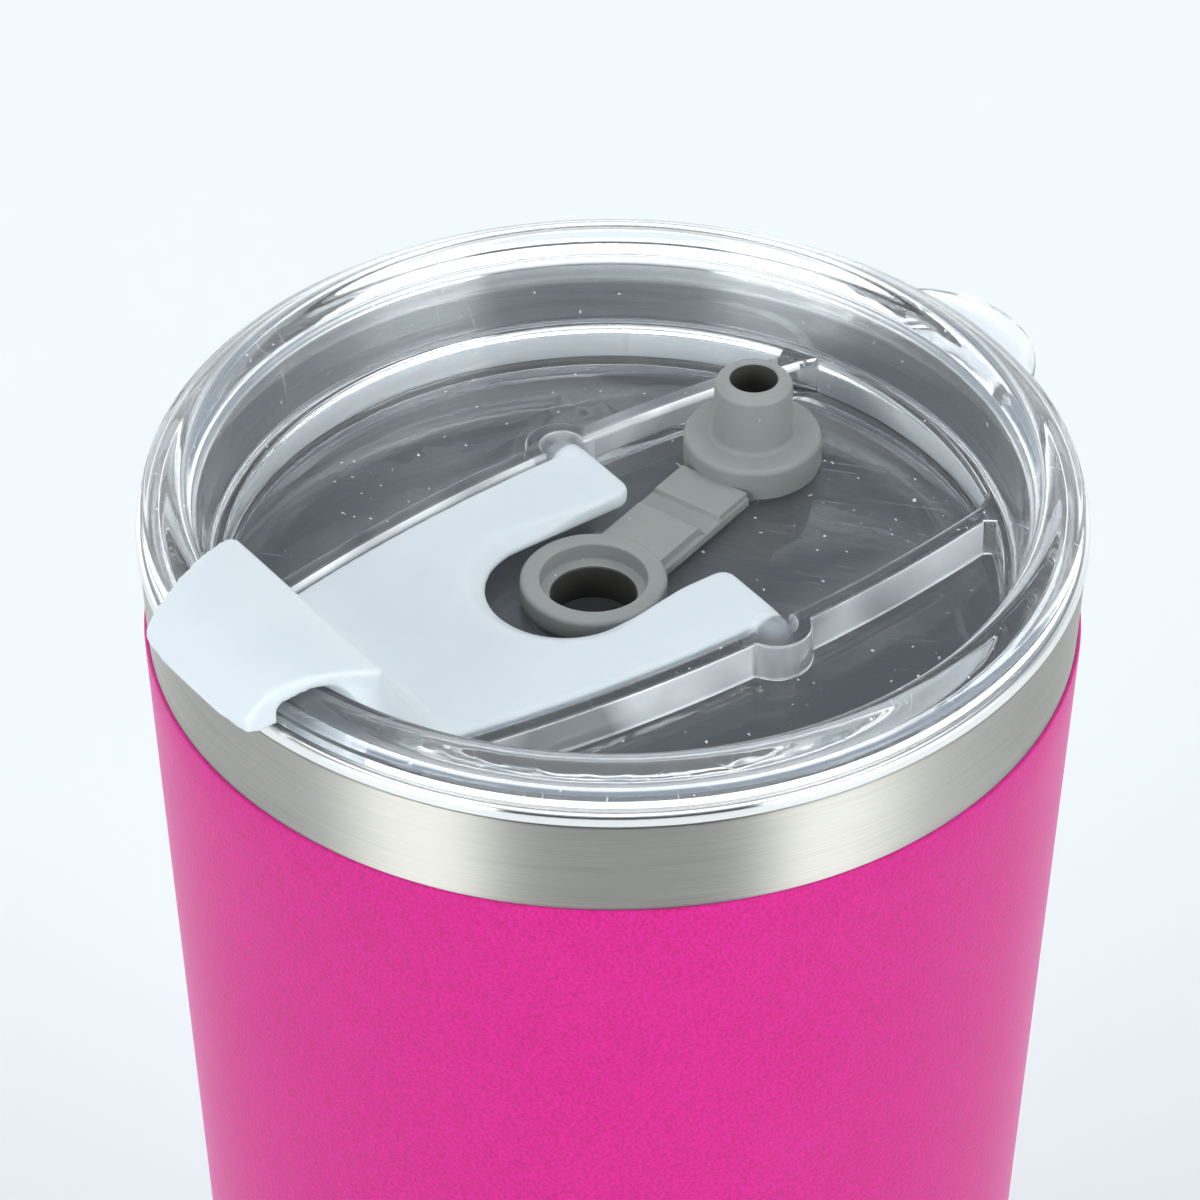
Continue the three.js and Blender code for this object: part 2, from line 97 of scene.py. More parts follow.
def camera():
    """Looks down at the lid, from beside the closure's tab, as the photograph does."""
    elevation, roll, azimuth = map(math.radians, (CAMERA_ELEVATION, CAMERA_ROLL, CAMERA_AZIMUTH))
    right = Vector((math.cos(azimuth), math.sin(azimuth), 0))
    away = Vector((-math.sin(azimuth), math.cos(azimuth), 0))
    back = -away * math.cos(elevation) + UP * math.sin(elevation)
    up = away * math.sin(elevation) + UP * math.cos(elevation)
    place = back * CAMERA_DISTANCE + right * CAMERA_ACROSS + up * CAMERA_ABOVE + UP * LID
    turned_right = right * math.cos(roll) + up * math.sin(roll)
    turned_up = up * math.cos(roll) - right * math.sin(roll)
    data = bpy.data.cameras.new("camera")
    data.sensor_width = SENSOR_WIDTH
    data.lens = CAMERA_LENS
    data.clip_start, data.clip_end = 0.01, 20
    obj = bpy.data.objects.new("camera", data)
    turn = Matrix((turned_right, turned_up, back)).transposed().to_4x4()
    obj.matrix_world = Matrix.Translation(place * MM) @ turn
    bpy.context.scene.collection.objects.link(obj)
    bpy.context.scene.camera = obj
    return right, away


RIGHT, AWAY = camera()

# The studio's brightness round the horizon, as (bearing from the camera's side in degrees, brightness):
# two soft lamps stand either side of the camera, with the dark room between them
HORIZON = (
    (-180, 1.7), (-140, 1.5), (-105, 0.75), (-64, 0.9), (-52, 6.5), (-32, 7.6), (-24, 0.02), (32, 0.02),
    (39, 7.6), (56, 6.5), (72, 1.8), (108, 0.55), (140, 1.1), (180, 1.7),
)
# Above the lamps the walls are dim and the ceiling is bright: (colour, sines of the angles it blends in over)
UPPER_WALL = ((0.24, 0.29, 0.35, 1), 0.47, 0.58)
OVERHEAD = ((1.70, 1.75, 1.77, 1), 0.74, 0.92)
STUDIO_TINT = (0.96, 0.985, 0.985)
# The soft box over the tumbler: its place, given from the camera's side, and what it points at
SOFT_BOX_PLACE = RIGHT * 0.05 + AWAY * 0.25 + UP * 1.1
SOFT_BOX_TARGET = Vector((0, 0, 0.15))
SOFT_BOX_SIZE = (1.1, 0.8)
SOFT_BOX_POWER = 0.9

# Sockets of the Mix node, which has a set for numbers and a set for colours
MIX_FACTOR = 0
MIX_NUMBERS, MIX_NUMBER_OUT = (2, 3), 0
MIX_COLOURS, MIX_COLOUR_OUT = (6, 7), 2


class Nodes:
    """Short ways to add nodes to a tree."""

    def __init__(self, tree):
        self.tree = tree

    def node(self, kind, settings=None, **inputs):
        made = self.tree.nodes.new(kind)
        for key, value in (settings or {}).items():
            setattr(made, key, value)
        for key, value in inputs.items():
            self.feed(value, made.inputs[key.replace("_", " ")])
        return made

    def feed(self, value, socket):
        """Links an output to the socket, or sets the socket to a constant."""
        if isinstance(value, bpy.types.NodeSocket):
            self.tree.links.new(value, socket)
        else:
            socket.default_value = value

    def math(self, operation, *values):
        made = self.node("ShaderNodeMath", {"operation": operation})
        for value, socket in zip(values, made.inputs):
            self.feed(value, socket)
        return made.outputs[0]

    def ramp(self, value, low, high, first=0.0, last=1.0, settings=None):
        """Turns a value from low to high into one from first to last."""
        span = {"From_Min": low, "From_Max": high, "To_Min": first, "To_Max": last}
        return self.node("ShaderNodeMapRange", settings, Value=value, **span).outputs[0]

    def mixed(self, factor, first, second):
        """A colour between two colours."""
        mix = self.node("ShaderNodeMix", {"data_type": "RGBA"})
        self.feed(factor, mix.inputs[MIX_FACTOR])
        for value, socket in zip((first, second), MIX_COLOURS):
            self.feed(value, mix.inputs[socket])
        return mix.outputs[MIX_COLOUR_OUT]

    def between(self, factor, first, last):
        """A number between two numbers."""
        mix = self.node("ShaderNodeMix")
        self.feed(factor, mix.inputs[MIX_FACTOR])
        for value, socket in zip((first, last), MIX_NUMBERS):
            self.feed(value, mix.inputs[socket])
        return mix.outputs[MIX_NUMBER_OUT]


def soft_box():
    data = bpy.data.lights.new("top_soft", "AREA")
    data.shape = "RECTANGLE"
    data.size, data.size_y = SOFT_BOX_SIZE
    data.energy = SOFT_BOX_POWER
    obj = bpy.data.objects.new("top_soft", data)
    obj.location = SOFT_BOX_PLACE
    obj.rotation_euler = (SOFT_BOX_TARGET - SOFT_BOX_PLACE).to_track_quat("-Z", "Y").to_euler()
    bpy.context.scene.collection.objects.link(obj)


def lights():
    world = bpy.data.worlds.new("world")
    bpy.context.scene.world = world
    world.use_nodes = True
    nodes = Nodes(world.node_tree)
    sky = world.node_tree.nodes["Background"]
    sky.inputs["Strength"].default_value = 1.0
    direction = nodes.node("ShaderNodeTexCoord").outputs["Generated"]

    def along(vector):
        dot = nodes.node("ShaderNodeVectorMath", {"operation": "DOT_PRODUCT"})
        nodes.feed(direction, dot.inputs[0])
        nodes.feed(vector, dot.inputs[1])
        return dot.outputs["Value"]

    bearing = nodes.math("ARCTAN2", along(RIGHT), along(-AWAY))
    horizon = nodes.node("ShaderNodeValToRGB", Fac=nodes.ramp(bearing, -math.pi, math.pi))
    elements = horizon.color_ramp.elements
    while len(elements) < len(HORIZON):
        elements.new(0.5)
    for element, (degrees, bright) in zip(elements, HORIZON):
        element.position = (degrees + 180) / 360
        element.color = (*(bright * c for c in STUDIO_TINT), 1)
    colour = horizon.outputs["Color"]
    for above, start, end in (UPPER_WALL, OVERHEAD):
        height = nodes.ramp(along(UP), start, end, settings={"interpolation_type": "SMOOTHSTEP"})
        colour = nodes.mixed(height, colour, above)
    nodes.feed(colour, sky.inputs["Color"])
    soft_box()


# ------------------------------------------------------------------ materials
class Shader(Nodes):
    """A material with its Principled node and short ways to add what feeds it."""

    def __init__(self, name, **constants):
        self.material = bpy.data.materials.new(name)
        self.material.use_nodes = True
        super().__init__(self.material.node_tree)
        self.principled = self.tree.nodes["Principled BSDF"]
        for socket, value in constants.items():
            self.principled.inputs[socket.replace("_", " ")].default_value = value
        self.place = self.node("ShaderNodeTexCoord").outputs["Object"]

    def coordinate(self, axis):
        return self.node("ShaderNodeSeparateXYZ", Vector=self.place).outputs[axis]

    def noise(self, grain, detail=3.0, roughness=0.6, distortion=0.0, turn=0.0):
        """Noise with a grain of that size in metres, one number or one for each axis, turned about Z."""
        sizes = grain if isinstance(grain, tuple) else (grain,) * 3
        scaling = {"Vector": self.place, "Rotation": (0, 0, turn), "Scale": sizes}
        scaled = self.node("ShaderNodeMapping", {"vector_type": "TEXTURE"}, **scaling)
        inputs = {"Scale": 1.0, "Detail": detail, "Roughness": roughness, "Distortion": distortion}
        return self.node("ShaderNodeTexNoise", Vector=scaled.outputs[0], **inputs).outputs["Fac"]

    def bump(self, *layers):
        """Layers of (height, strength, depth in metres)."""
        normal = None
        for height, strength, depth in layers:
            inputs = {"Height": height, "Strength": strength, "Distance": depth}
            if normal is not None:
                inputs["Normal"] = normal
            normal = self.node("ShaderNodeBump", **inputs).outputs[0]
        self.tree.links.new(normal, self.principled.inputs["Normal"])

    def set(self, socket, value):
        self.feed(value, self.principled.inputs[socket])


NEVER = 10.0  # a height above the whole object
POLISH_FADE = 0.0006
POLISHED_COLOUR, POLISHED_ROUGHNESS = (0.93, 0.92, 0.90, 1), 0.16
PLASTIC_IOR = 1.49
SHADOW_TINT = (0.965, 0.975, 0.985, 1)  # what clear plastic leaves of the light that passes it
SCRATCH_TURN = math.radians(42)


def darker(colour, share):
    return (*(c * (1 - share) for c in colour[:3]), 1)


def brushed_steel(name, colour, roughness, streaks, polished_above=NEVER):
    """Steel brushed round Z, with fine lines that run level; above a height it is polished and paler."""
    shader = Shader(name, Metallic=1.0, Anisotropic=0.96, Anisotropic_Rotation=0.25)
    lines = shader.noise((0.012, 0.012, 0.00007), 2.0)
    bands = shader.noise((0.03, 0.03, 0.0009), 3.0)
    brushed = shader.mixed(shader.ramp(lines, 0.3, 0.7), darker(colour, streaks), colour)
    polish = shader.ramp(shader.coordinate("Z"), polished_above, polished_above + POLISH_FADE)
    shader.set("Base Color", shader.mixed(polish, brushed, POLISHED_COLOUR))
    rough = shader.ramp(bands, 0.3, 0.7, roughness - 0.05, roughness + 0.06)
    shader.set("Roughness", shader.between(polish, rough, POLISHED_ROUGHNESS))
    shader.bump((lines, 0.10, 0.00002))
    tangent = shader.node("ShaderNodeTangent", {"direction_type": "RADIAL", "axis": "Z"})
    shader.tree.links.new(tangent.outputs[0], shader.principled.inputs["Tangent"])
    return shader.material


def powder_coat():
    """Pink powder coat with a fine grain; its sheen pales it where it turns away."""
    sheen = {"Sheen_Weight": 0.42, "Sheen_Roughness": 0.28}
    shader = Shader("powder_coat", Metallic=0.0, Specular_IOR_Level=0.35, **sheen)
    shader.set("Sheen Tint", (1.0, 0.68, 0.86, 1))
    grain = shader.noise(0.00032, 2.0, 0.5)
    cloud = shader.noise(0.012, 3.0)
    deep, bright = (0.42, 0.001, 0.14, 1), (0.575, 0.002, 0.225, 1)
    base = shader.mixed(shader.ramp(grain, 0.36, 0.6), deep, bright)
    paler = shader.mixed(shader.ramp(cloud, 0.3, 0.7, 0.0, 0.04), base, (0.92, 0.08, 0.42, 1))
    shader.set("Base Color", paler)
    shader.set("Roughness", shader.ramp(grain, 0.3, 0.7, 0.42, 0.56))
    shader.bump((grain, 0.45, 0.00012), (cloud, 0.02, 0.0003))
    return shader.material


def clear_plastic():
    """Clear polished plastic that casts a pale shadow, with fine scratches and specks of dust."""
    shader = Shader("clear_plastic", Base_Color=(0.965, 0.983, 1.0, 1), IOR=PLASTIC_IOR)
    ripple = shader.noise(0.006, 2.0)
    lines = shader.noise((0.011, 0.00028, 0.02), 1.0, 0.5, 0.25, turn=SCRATCH_TURN)
    scratches = shader.ramp(lines, 0.70, 0.80)
    dust = shader.ramp(shader.noise(0.00055, 0.0), 0.845, 0.87)
    shader.set("Roughness", shader.ramp(scratches, 0.0, 1.0, 0.012, 0.2))
    whole = shader.between(scratches, 0.972, 0.84)
    shader.set("Transmission Weight", shader.between(dust, whole, 0.4))
    shader.bump((ripple, 0.06, 0.0006), (scratches, 0.10, 0.00003))
    in_shadow = shader.node("ShaderNodeLightPath").outputs["Is Shadow Ray"]
    through = shader.node("ShaderNodeBsdfTransparent", Color=SHADOW_TINT).outputs[0]
    mix = shader.node("ShaderNodeMixShader")
    for value, socket in zip((in_shadow, shader.principled.outputs[0], through), mix.inputs):
        shader.feed(value, socket)
    shader.feed(mix.outputs[0], shader.tree.nodes["Material Output"].inputs["Surface"])
    return shader.material


def rail_side_painted_highlight():
    """The rails' outer sides and sockets: the same plastic, made partly milky so they look lit like a milky
    pane; a painted highlight.
    """
    gloss = {"Coat_Weight": 0.8, "Coat_Roughness": 0.03}
    shader = Shader("rail_side_painted_highlight", Base_Color=(0.97, 0.99, 1.0, 1), IOR=PLASTIC_IOR, **gloss)
    pane = shader.noise((0.006, 0.012, 0.02), 1.0, 0.5, 0.3)
    from_hinge = shader.math("ABSOLUTE", shader.math("SUBTRACT", shader.coordinate("Y"), HINGE_Y * MM))
    socket = shader.ramp(from_hinge, (SOCKET_RADIUS - 0.1) * MM, (SOCKET_RADIUS + 0.3) * MM, 1.0, 0.0)
    # painted highlight: where this is low the plastic lets little light through and looks white
    painted_highlight_clearness = shader.ramp(pane, 0.42, 0.62, 0.0, 0.7)
    shader.set("Transmission Weight", shader.between(socket, painted_highlight_clearness, 0.72))
    shader.set("Roughness", shader.ramp(pane, 0.3, 0.7, 0.03, 0.10))
    shader.bump((shader.noise(0.006, 2.0), 0.06, 0.0006))
    return shader.material


def frosted_plastic():
    """Frosted translucent plastic, which clears towards the moulded hinge nubs."""
    inside = {"Subsurface_Weight": 0.35, "Subsurface_Scale": 0.0012, "Subsurface_Radius": (0.9, 1.0, 1.05)}
    shader = Shader("frosted_plastic", Metallic=0.0, IOR=PLASTIC_IOR, **inside)
    fine = shader.noise(0.00025, 2.0)
    cloud = shader.noise(0.007, 3.0)
    from_middle = shader.math("ABSOLUTE", shader.coordinate("X"))
    nub = shader.ramp(from_middle, (PLATE_HALF + 0.05) * MM, (PLATE_HALF + 0.55) * MM)
    shader.set("Base Color", shader.mixed(cloud, (0.70, 0.755, 0.795, 1), (0.76, 0.81, 0.85, 1)))
    shader.set("Transmission Weight", shader.between(nub, 0.22, 0.75))
    frost = shader.ramp(cloud, 0.3, 0.7, 0.36, 0.48)
    shader.set("Roughness", shader.between(nub, frost, 0.12))
    shader.bump((fine, 0.10, 0.00005), (cloud, 0.04, 0.0005))
    return shader.material


def silicone(name, first, second, clear=0.0, grain=0.12):
    """Matt silicone between two colours, with a little dust on it."""
    shader = Shader(name, Metallic=0.0, Transmission_Weight=clear, Specular_IOR_Level=0.42)
    fine = shader.noise(0.00018, 2.0)
    cloud = shader.noise(0.003, 3.0)
    dust = shader.noise(0.00055, 1.0)
    base = shader.mixed(cloud, first, second)
    shader.set("Base Color", shader.mixed(shader.ramp(dust, 0.80, 0.84), base, (0.75, 0.76, 0.76, 1)))
    shader.set("Roughness", shader.ramp(fine, 0.3, 0.7, 0.46, 0.6))
    shader.bump((fine, grain, 0.00005), (cloud, 0.05, 0.0003))
    return shader.material


def dull_metal(name, colour):
    shader = Shader(name, Metallic=1.0)
    grain = shader.noise(0.0003, 3.0)
    shader.set("Base Color", shader.mixed(grain, darker(colour, 0.3), colour))
    shader.set("Roughness", shader.ramp(grain, 0.3, 0.7, 0.4, 0.65))
    shader.bump((grain, 0.3, 0.0001))
    return shader.material


def pale_floor():
    shader = Shader("pale_floor", Roughness=0.7, Specular_IOR_Level=0.2)
    cloud = shader.noise(0.08, 3.0)
    shader.set("Base Color", shader.mixed(cloud, (0.735, 0.765, 0.785, 1), (0.75, 0.78, 0.80, 1)))
    shader.bump((shader.noise(0.001, 2.0), 0.02, 0.0002))
    return shader.material


STEEL = brushed_steel("steel_outside", (0.57, 0.56, 0.515, 1), 0.47, 0.20)
# the inside steel gets a darker, cooler colour than the outside steel: painted shade for the dim inside of the
# cup
STEEL_INSIDE_PAINTED_SHADE = brushed_steel("steel_inside_painted_shade", (0.34, 0.345, 0.36, 1), 0.44, 0.25, LIP_BOTTOM * MM)
COAT = powder_coat()
CLEAR = clear_plastic()
RAIL_SIDE_PAINTED_HIGHLIGHT = rail_side_painted_highlight()
FROSTED = frosted_plastic()
GREY = silicone("grey_silicone", (0.235, 0.243, 0.239, 1), (0.275, 0.283, 0.279, 1))
# a darker copy of the grey silicone: painted shade for the inside of the grommet's and plug's bores
GREY_PAINTED_SHADE = silicone("grey_silicone_painted_shade", (0.045, 0.042, 0.038, 1), (0.07, 0.066, 0.06, 1))
SEAL_RING = silicone("clear_silicone", (0.82, 0.85, 0.87, 1), (0.88, 0.90, 0.92, 1), 0.35, 0.02)
GETTER = dull_metal("getter_metal", (0.40, 0.40, 0.41, 1))
SOLDER = dull_metal("solder_glass", (0.42, 0.41, 0.40, 1))


# ------------------------------------------------------------------ mesh helpers
def shade(obj, sharp=30):
    """Smooth faces, with the edges that turn by more than that many degrees left sharp."""
    mesh = obj.data
    mesh.polygons.foreach_set("use_smooth", [True] * len(mesh.polygons))
    mesh.set_sharp_from_angle(angle=math.radians(sharp))
    return obj


def solid(name, verts, faces, material, sharp=30):
    mesh = bpy.data.meshes.new(name)
    mesh.from_pydata([Vector(v) * MM for v in verts], [], faces)
    form = bmesh.new()
    form.from_mesh(mesh)
    bmesh.ops.remove_doubles(form, verts=form.verts, dist=1e-7)
    bmesh.ops.recalc_face_normals(form, faces=form.faces)
    form.to_mesh(mesh)
    form.free()
    obj = bpy.data.objects.new(name, mesh)
    bpy.context.scene.collection.objects.link(obj)
    mesh.materials.append(material)
    return shade(obj, sharp)


def rounded(points, closed=True, steps=5):
    """Points (x, y) or (x, y, radius); a point with a radius becomes an arc that touches both its sides."""
    made = []
    count = len(points)
    for i, point in enumerate(points):
        here = np.array(point[:2], float)
        radius = point[2] if len(point) > 2 else 0
        if radius <= 0 or (not closed and i in (0, count - 1)):
            made.append(tuple(here))
            continue
        to_last = np.array(points[i - 1][:2], float) - here
        to_next = np.array(points[(i + 1) % count][:2], float) - here
        lengths = np.linalg.norm(to_last), np.linalg.norm(to_next)
        to_last, to_next = to_last / lengths[0], to_next / lengths[1]
        half = math.acos(max(-1.0, min(1.0, float(to_last @ to_next)))) / 2
        reach = min(radius / math.tan(half), 0.49 * lengths[0], 0.49 * lengths[1])
        radius = reach * math.tan(half)
        middle = to_last + to_next
        centre = here + middle / np.linalg.norm(middle) * radius / math.sin(half)
        first, last = here + to_last * reach - centre, here + to_next * reach - centre
        start = math.atan2(first[1], first[0])
        sweep = math.atan2(last[1], last[0]) - start
        sweep = (sweep + math.pi) % (2 * math.pi) - math.pi
        for k in range(steps + 1):
            angle = start + sweep * k / steps
            made.append((centre[0] + radius * math.cos(angle), centre[1] + radius * math.sin(angle)))
    return made


def spline(points, steps):
    """A smooth line through points, with that many steps between each two."""
    pts = [np.array(p, float) for p in points]
    pts = [2 * pts[0] - pts[1], *pts, 2 * pts[-1] - pts[-2]]
    made = []
    for i in range(1, len(pts) - 2):
        a, b, c, d = pts[i - 1 : i + 3]
        for k in range(steps):
            t = k / steps
            square, cube = 2 * a - 5 * b + 4 * c - d, 3 * b - a - 3 * c + d
            made.append(tuple(0.5 * (2 * b + (c - a) * t + square * t**2 + cube * t**3)))
    made.append(tuple(pts[-2]))
    return made


def lathe(name, profile, material, level=0.0, centre=(0, 0), segments=192, sharp=30):
    """A closed body turned about the vertical through centre, from (radius, height) points."""
    verts, faces, rings = [], [], []
    for radius, height in profile:
        count = 1 if radius < 1e-6 else segments
        rings.append(list(range(len(verts), len(verts) + count)))
        for i in range(count):
            angle = 2 * math.pi * i / segments
            x, y = centre[0] + radius * math.cos(angle), centre[1] + radius * math.sin(angle)
            verts.append((x, y, height + level))
    pairs = list(zip(rings, rings[1:]))
    if len(rings[0]) > 1:
        pairs.append((rings[-1], rings[0]))
    for low, high in pairs:
        if len(low) == len(high) == 1:
            continue
        for i in range(segments):
            j = (i + 1) % segments
            if len(low) == 1:
                faces.append((low[0], high[i], high[j]))
            elif len(high) == 1:
                faces.append((low[i], high[0], low[j]))
            else:
                faces.append((low[i], low[j], high[j], high[i]))
    return solid(name, verts, faces, material, sharp)


def stacked(name, rings, material, sharp=30):
    """A closed body through rings of equally many points, capped at both ends."""
    count = len(rings[0])
    verts = [tuple(p) for ring in rings for p in ring]
    faces = [tuple(range(count)), tuple(range(len(verts) - count, len(verts)))]
    for k in range(len(rings) - 1):
        low = k * count
        for i in range(count):
            j = (i + 1) % count
            faces.append((low + i, low + j, low + count + j, low + count + i))
    return solid(name, verts, faces, material, sharp)


def grown(outline, amount):
    """The outline, given anticlockwise, moved outwards by that amount."""
    points = np.array(outline, float)
    into = points - np.roll(points, 1, 0)
    out = np.roll(points, -1, 0) - points
    into /= np.linalg.norm(into, axis=1)[:, None]
    out /= np.linalg.norm(out, axis=1)[:, None]
    first = np.stack([into[:, 1], -into[:, 0]], 1)
    second = np.stack([out[:, 1], -out[:, 0]], 1)
    normal = first + second
    normal /= np.linalg.norm(normal, axis=1)[:, None]
    stretch = np.maximum((normal * first).sum(1), 0.5)
    return points + normal * (amount / stretch)[:, None]


def at_height(outline, height):
    return [(x, y, height) for x, y in outline]


def applied(obj):
    """Makes the modifiers' result the mesh."""
    evaluated = obj.evaluated_get(bpy.context.evaluated_depsgraph_get())
    mesh = bpy.data.meshes.new_from_object(evaluated)
    obj.modifiers.clear()
    obj.data = mesh
    return obj


def combine(obj, operation, *others):
    for other in others:
        modifier = obj.modifiers.new("combine", "BOOLEAN")
        modifier.operation = operation
        modifier.solver = "MANIFOLD"
        modifier.object = other
        applied(obj)
        bpy.data.objects.remove(other)
    return obj


def softened(obj, voxel, smoothing):
    """One skin over the whole piece with its edges rounded as in a moulding."""
    remesh = obj.modifiers.new("skin", "REMESH")
    remesh.mode = "VOXEL"
    remesh.voxel_size = voxel * MM
    applied(obj)
    smooth = obj.modifiers.new("smooth", "SMOOTH")
    smooth.factor, smooth.iterations = 0.5, smoothing
    applied(obj)
    return shade(obj, 180)


# ------------------------------------------------------------------ tumbler body
def outer_radius(height):
    return FOOT_RADIUS + TAPER * height


def liner_radius(height):
    return outer_radius(height) - 2 * SHEET - WALL_GAP


def spread(low, high, count=24):
    """Evenly spaced values, with both ends."""
    return np.linspace(low, high, count)


def steel_shell():
    """The outer wall with its rolled foot: up its outside, over the seam and down its inside."""
    seam, turn = BODY_HEIGHT - 1.6, 4.0
    heel = [(32.3, 0), (FOOT_RADIUS, 0, 2.5), (outer_radius(turn), turn)]
    shell = rounded(heel, closed=False, steps=8)[:-1]
    shell += [(outer_radius(h), h) for h in spread(2.5, seam - 0.1) if h > 2.6]
    shell += [(outer_radius(seam) - 0.1, seam)]
    shell += [(outer_radius(h) - SHEET, h) for h in spread(seam, 2.5)][:-1]
    shell += rounded([(34.1, turn), (34.0, SHEET, 1.7), (32.3, SHEET)], closed=False, steps=6)[1:]
    return lathe("steel_shell", shell, STEEL)


def pink_coat():
    """The coat, a hair off the steel, with soft edges at its top and bottom."""
    inside = [(outer_radius(h) + 0.04, h) for h in spread(COAT_BOTTOM, BAND_BOTTOM, 30)]
    outside = [(outer_radius(h) + 0.38, h) for h in spread(BAND_BOTTOM - 0.45, COAT_BOTTOM + 0.5, 30)]
    top, bottom = outer_radius(BAND_BOTTOM), outer_radius(COAT_BOTTOM)
    crown = [(top + 0.16, BAND_BOTTOM - 0.02), (top + 0.30, BAND_BOTTOM - 0.14)]
    heel = [(bottom + 0.32, COAT_BOTTOM + 0.22), (bottom + 0.2, COAT_BOTTOM + 0.05)]
    return lathe("pink_coat", inside + crown + outside + heel, COAT, segments=256)


def steel_liner():
    """The inner cup; its mouth flares out in a rounded, polished lip that closes the wall."""
    floor_bottom, floor_top, bend = 8.0, 8.0 + SHEET, 6.0
    lip_outer, lip_inner = outer_radius(BODY_HEIGHT) + 0.1, liner_radius(BODY_HEIGHT)
    collar = BODY_HEIGHT - 1.2
    lip_depth, lip_reach, lip_edge = 3.6, 1.9, 1.0
    wall = [(liner_radius(h), h) for h in spread(floor_top + bend + 1, BODY_HEIGHT - lip_depth)]
    bottom = [(0, floor_top), (liner_radius(floor_top), floor_top, bend), wall[1]]
    cup = rounded(bottom, closed=False, steps=10)[:-1] + wall[1:]
    for share in spread(0, 1, 10)[1:]:
        angle = share * math.pi / 2
        flare, rise = lip_reach * (1 - math.cos(angle)), lip_depth * (1 - math.sin(angle))
        cup.append((lip_inner + flare, BODY_HEIGHT - rise))
    cup += rounded([cup[-1], (lip_outer, BODY_HEIGHT, lip_edge), (lip_outer, collar)], closed=False)[1:]
    cup += [(lip_inner + SHEET + 0.3, collar), (liner_radius(collar - 1.5) + SHEET, collar - 1.5)]
    under = liner_radius(floor_bottom)
    cup += [(liner_radius(20) + SHEET, 20), (under + SHEET - 2, 9.6)]
    cup += [(under - 4, floor_bottom), (0, floor_bottom)]
    return lathe("steel_liner", cup, STEEL_INSIDE_PAINTED_SHADE)


def steel_foot():
    """The pressed disc under the body: a raised middle with a small hole, a flat and a standing ring."""
    foot = [(0.8, 2.8), (5.0, 2.8, 0.4), (6.0, 1.6, 0.5), (23.4, 1.6, 0.9), (25.0, 0, 0.5), (32.0, 0, 0.2)]
    foot += [(32.0, 0.8), (25.6, 0.8, 0.5), (24.0, 2.4, 0.9), (6.4, 2.4, 0.5), (5.4, 3.6, 0.4), (0.8, 3.6)]
    return lathe("steel_foot", rounded(foot), STEEL)


def tumbler_body():
    for make, node, slot in (
        (steel_shell, "outer_shell", "steel"), (pink_coat, "powder_coat", "coat"),
        (steel_liner, "inner_liner", "steel"), (steel_foot, "base_plate", "steel"),
    ):
        piece = make()
        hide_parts(node)
        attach(piece, "tumbler")
    for node, finish in (("vacuum_seal", SOLDER), ("getter", GETTER), ("getter_clip", STEEL)):
        NODES[node].data.materials.clear()
        NODES[node].data.materials.append(finish)


# ------------------------------------------------------------------ lid
def bowed(half_width, y):
    """Half width of a bowed side at a place along the lid."""
    radius = BOW_RADIUS - RAIL_OUTER + half_width
    return half_width - radius + math.sqrt(radius**2 - (y - BOW_Y) ** 2)


def circle_meets(half_width, radius, sign):
    """Where a bowed side meets a circle round the lid's axis."""
    y = sign * radius * 0.88
    for _ in range(40):
        y = sign * math.sqrt(radius**2 - bowed(half_width, y) ** 2)
    return y


def arc(radius, first, last, step=0.5, centre=(0, 0)):
    count = max(3, int(abs(last - first) * radius / step))
    angles = np.linspace(first, last, count)
    return [(centre[0] + radius * math.cos(a), centre[1] + radius * math.sin(a)) for a in angles]


def mirrored(outline):
    return [(-x, y) for x, y in reversed(outline)]


def pocket_outline(side):
    """The pocket outside a rail: the rail with the socket's half round, and the lid's wall."""
    low, high = circle_meets(RAIL_OUTER, POCKET_RADIUS, -1), circle_meets(RAIL_OUTER, POCKET_RADIUS, 1)
    first, last = (math.atan2(y, bowed(RAIL_OUTER, y)) for y in (low, high))
    wall = arc(POCKET_RADIUS, first, last)
    rail = []
    for y in np.arange(high - 0.5, low + 0.4, -0.3):
        x = bowed(RAIL_OUTER, y)
        away = abs(y - HINGE_Y)
        if away < SOCKET_RADIUS:
            x = max(x, SOCKET_X + math.sqrt(SOCKET_RADIUS**2 - away**2))
        rail.append((x, y))
    outline = wall[2:-2] + rail[3:-3]  # without the sharp corners where they meet
    return outline if side > 0 else mirrored(outline)


def channel_outline():
    low, high = circle_meets(RAIL_INNER, POCKET_RADIUS, -1), circle_meets(RAIL_INNER, POCKET_RADIUS, 1)
    right = [(bowed(RAIL_INNER, y), y) for y in np.arange(low + 0.8, high - 0.8, 0.6)]
    left = mirrored(right)
    angle = math.atan2(high, bowed(RAIL_INNER, high))
    far = arc(POCKET_RADIUS, angle + 0.02, math.pi - angle - 0.02)
    angle = math.atan2(low, bowed(RAIL_INNER, low))
    near = arc(POCKET_RADIUS, -math.pi - angle + 0.02, angle - 0.02)
    return right + far + left + near


def carve(outline, bottom, top, fillet, lip):
    """A cutter with rounded foot corners and a top that spreads to round the edge it leaves."""
    rings = []
    for angle in spread(0, math.pi / 2, 5):
        foot = grown(outline, -fillet * (1 - math.sin(angle)))
        rings.append(at_height(foot, bottom + fillet * (1 - math.cos(angle))))
    for angle in spread(0, math.pi / 2, 5):
        edge = grown(outline, lip * (1 - math.cos(angle)))
        rings.append(at_height(edge, top - lip + lip * math.sin(angle)))
    rings.append(at_height(grown(outline, lip), top + 1.5))
    return stacked("cutter", rings, CLEAR)


def bore(outline):
    """A cutter that goes straight through the lid's floor."""
    return stacked("hole", [at_height(outline, -15), at_height(outline, FLOOR + 1)], CLEAR)


def ring_outline(radius, y, points, step):
    return arc(radius, 0, 2 * math.pi * (points - 1) / points, step, (0, y))


